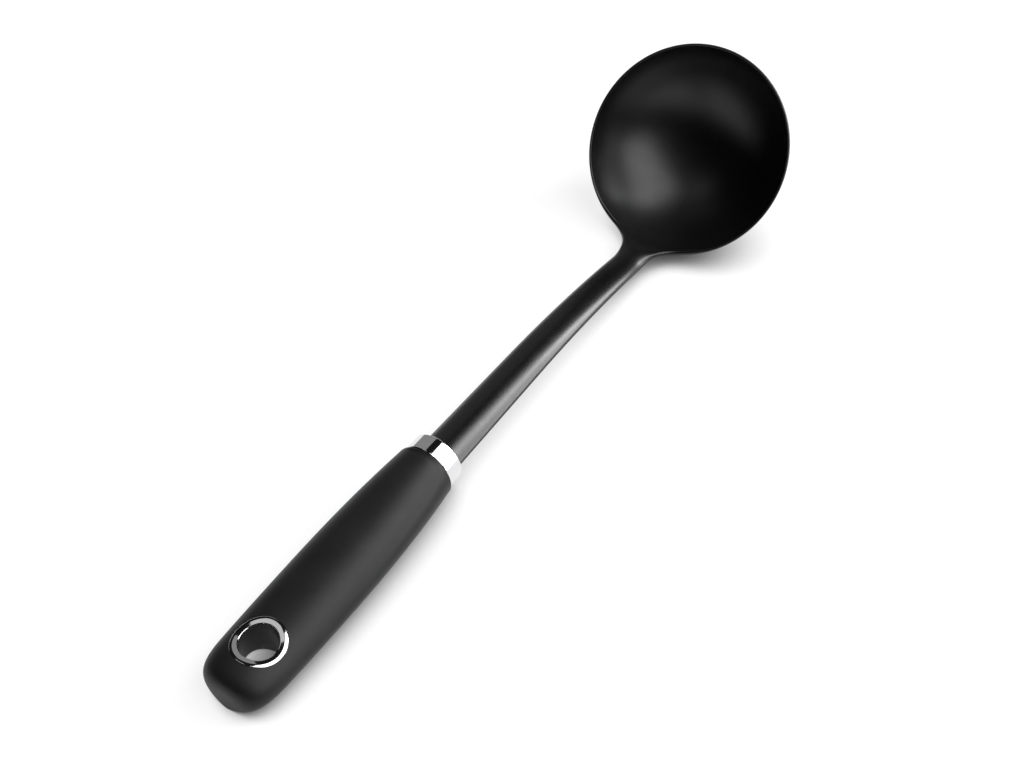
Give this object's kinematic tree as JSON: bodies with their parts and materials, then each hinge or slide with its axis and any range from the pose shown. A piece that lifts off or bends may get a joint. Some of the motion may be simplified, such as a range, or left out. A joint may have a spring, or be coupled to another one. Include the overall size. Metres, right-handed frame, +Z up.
{
  "type": "soup ladle",
  "caption": "Soup ladle for serving liquids: deep round bowl on a crowned stem, soft oval grip with a bright collar, and a ringed hanging hole through its rear end.",
  "frame": {"origin": "middle of the ladle's length and width, on the table that it lies on", "axes": "+X from the handle to the bowl, +Z up from the table, the ladle is mirrored about Y = 0"},
  "size_m": [0.334, 0.088, 0.0675],
  "materials": {
    "nylon": "satin black nylon",
    "bright_metal": "polished",
    "soft_grip": "soft-touch matt",
    "core_plastic": "moulded",
    "pin_steel": "ground"
  },
  "bodies": {
    "root": {"ladle_head": "nylon", "collar": "bright_metal", "grip": "soft_grip", "eyelet_front": "bright_metal", "eyelet_back": "bright_metal", "handle_core": "core_plastic", "tang_pins": "pin_steel"}
  },
  "joints": []
}
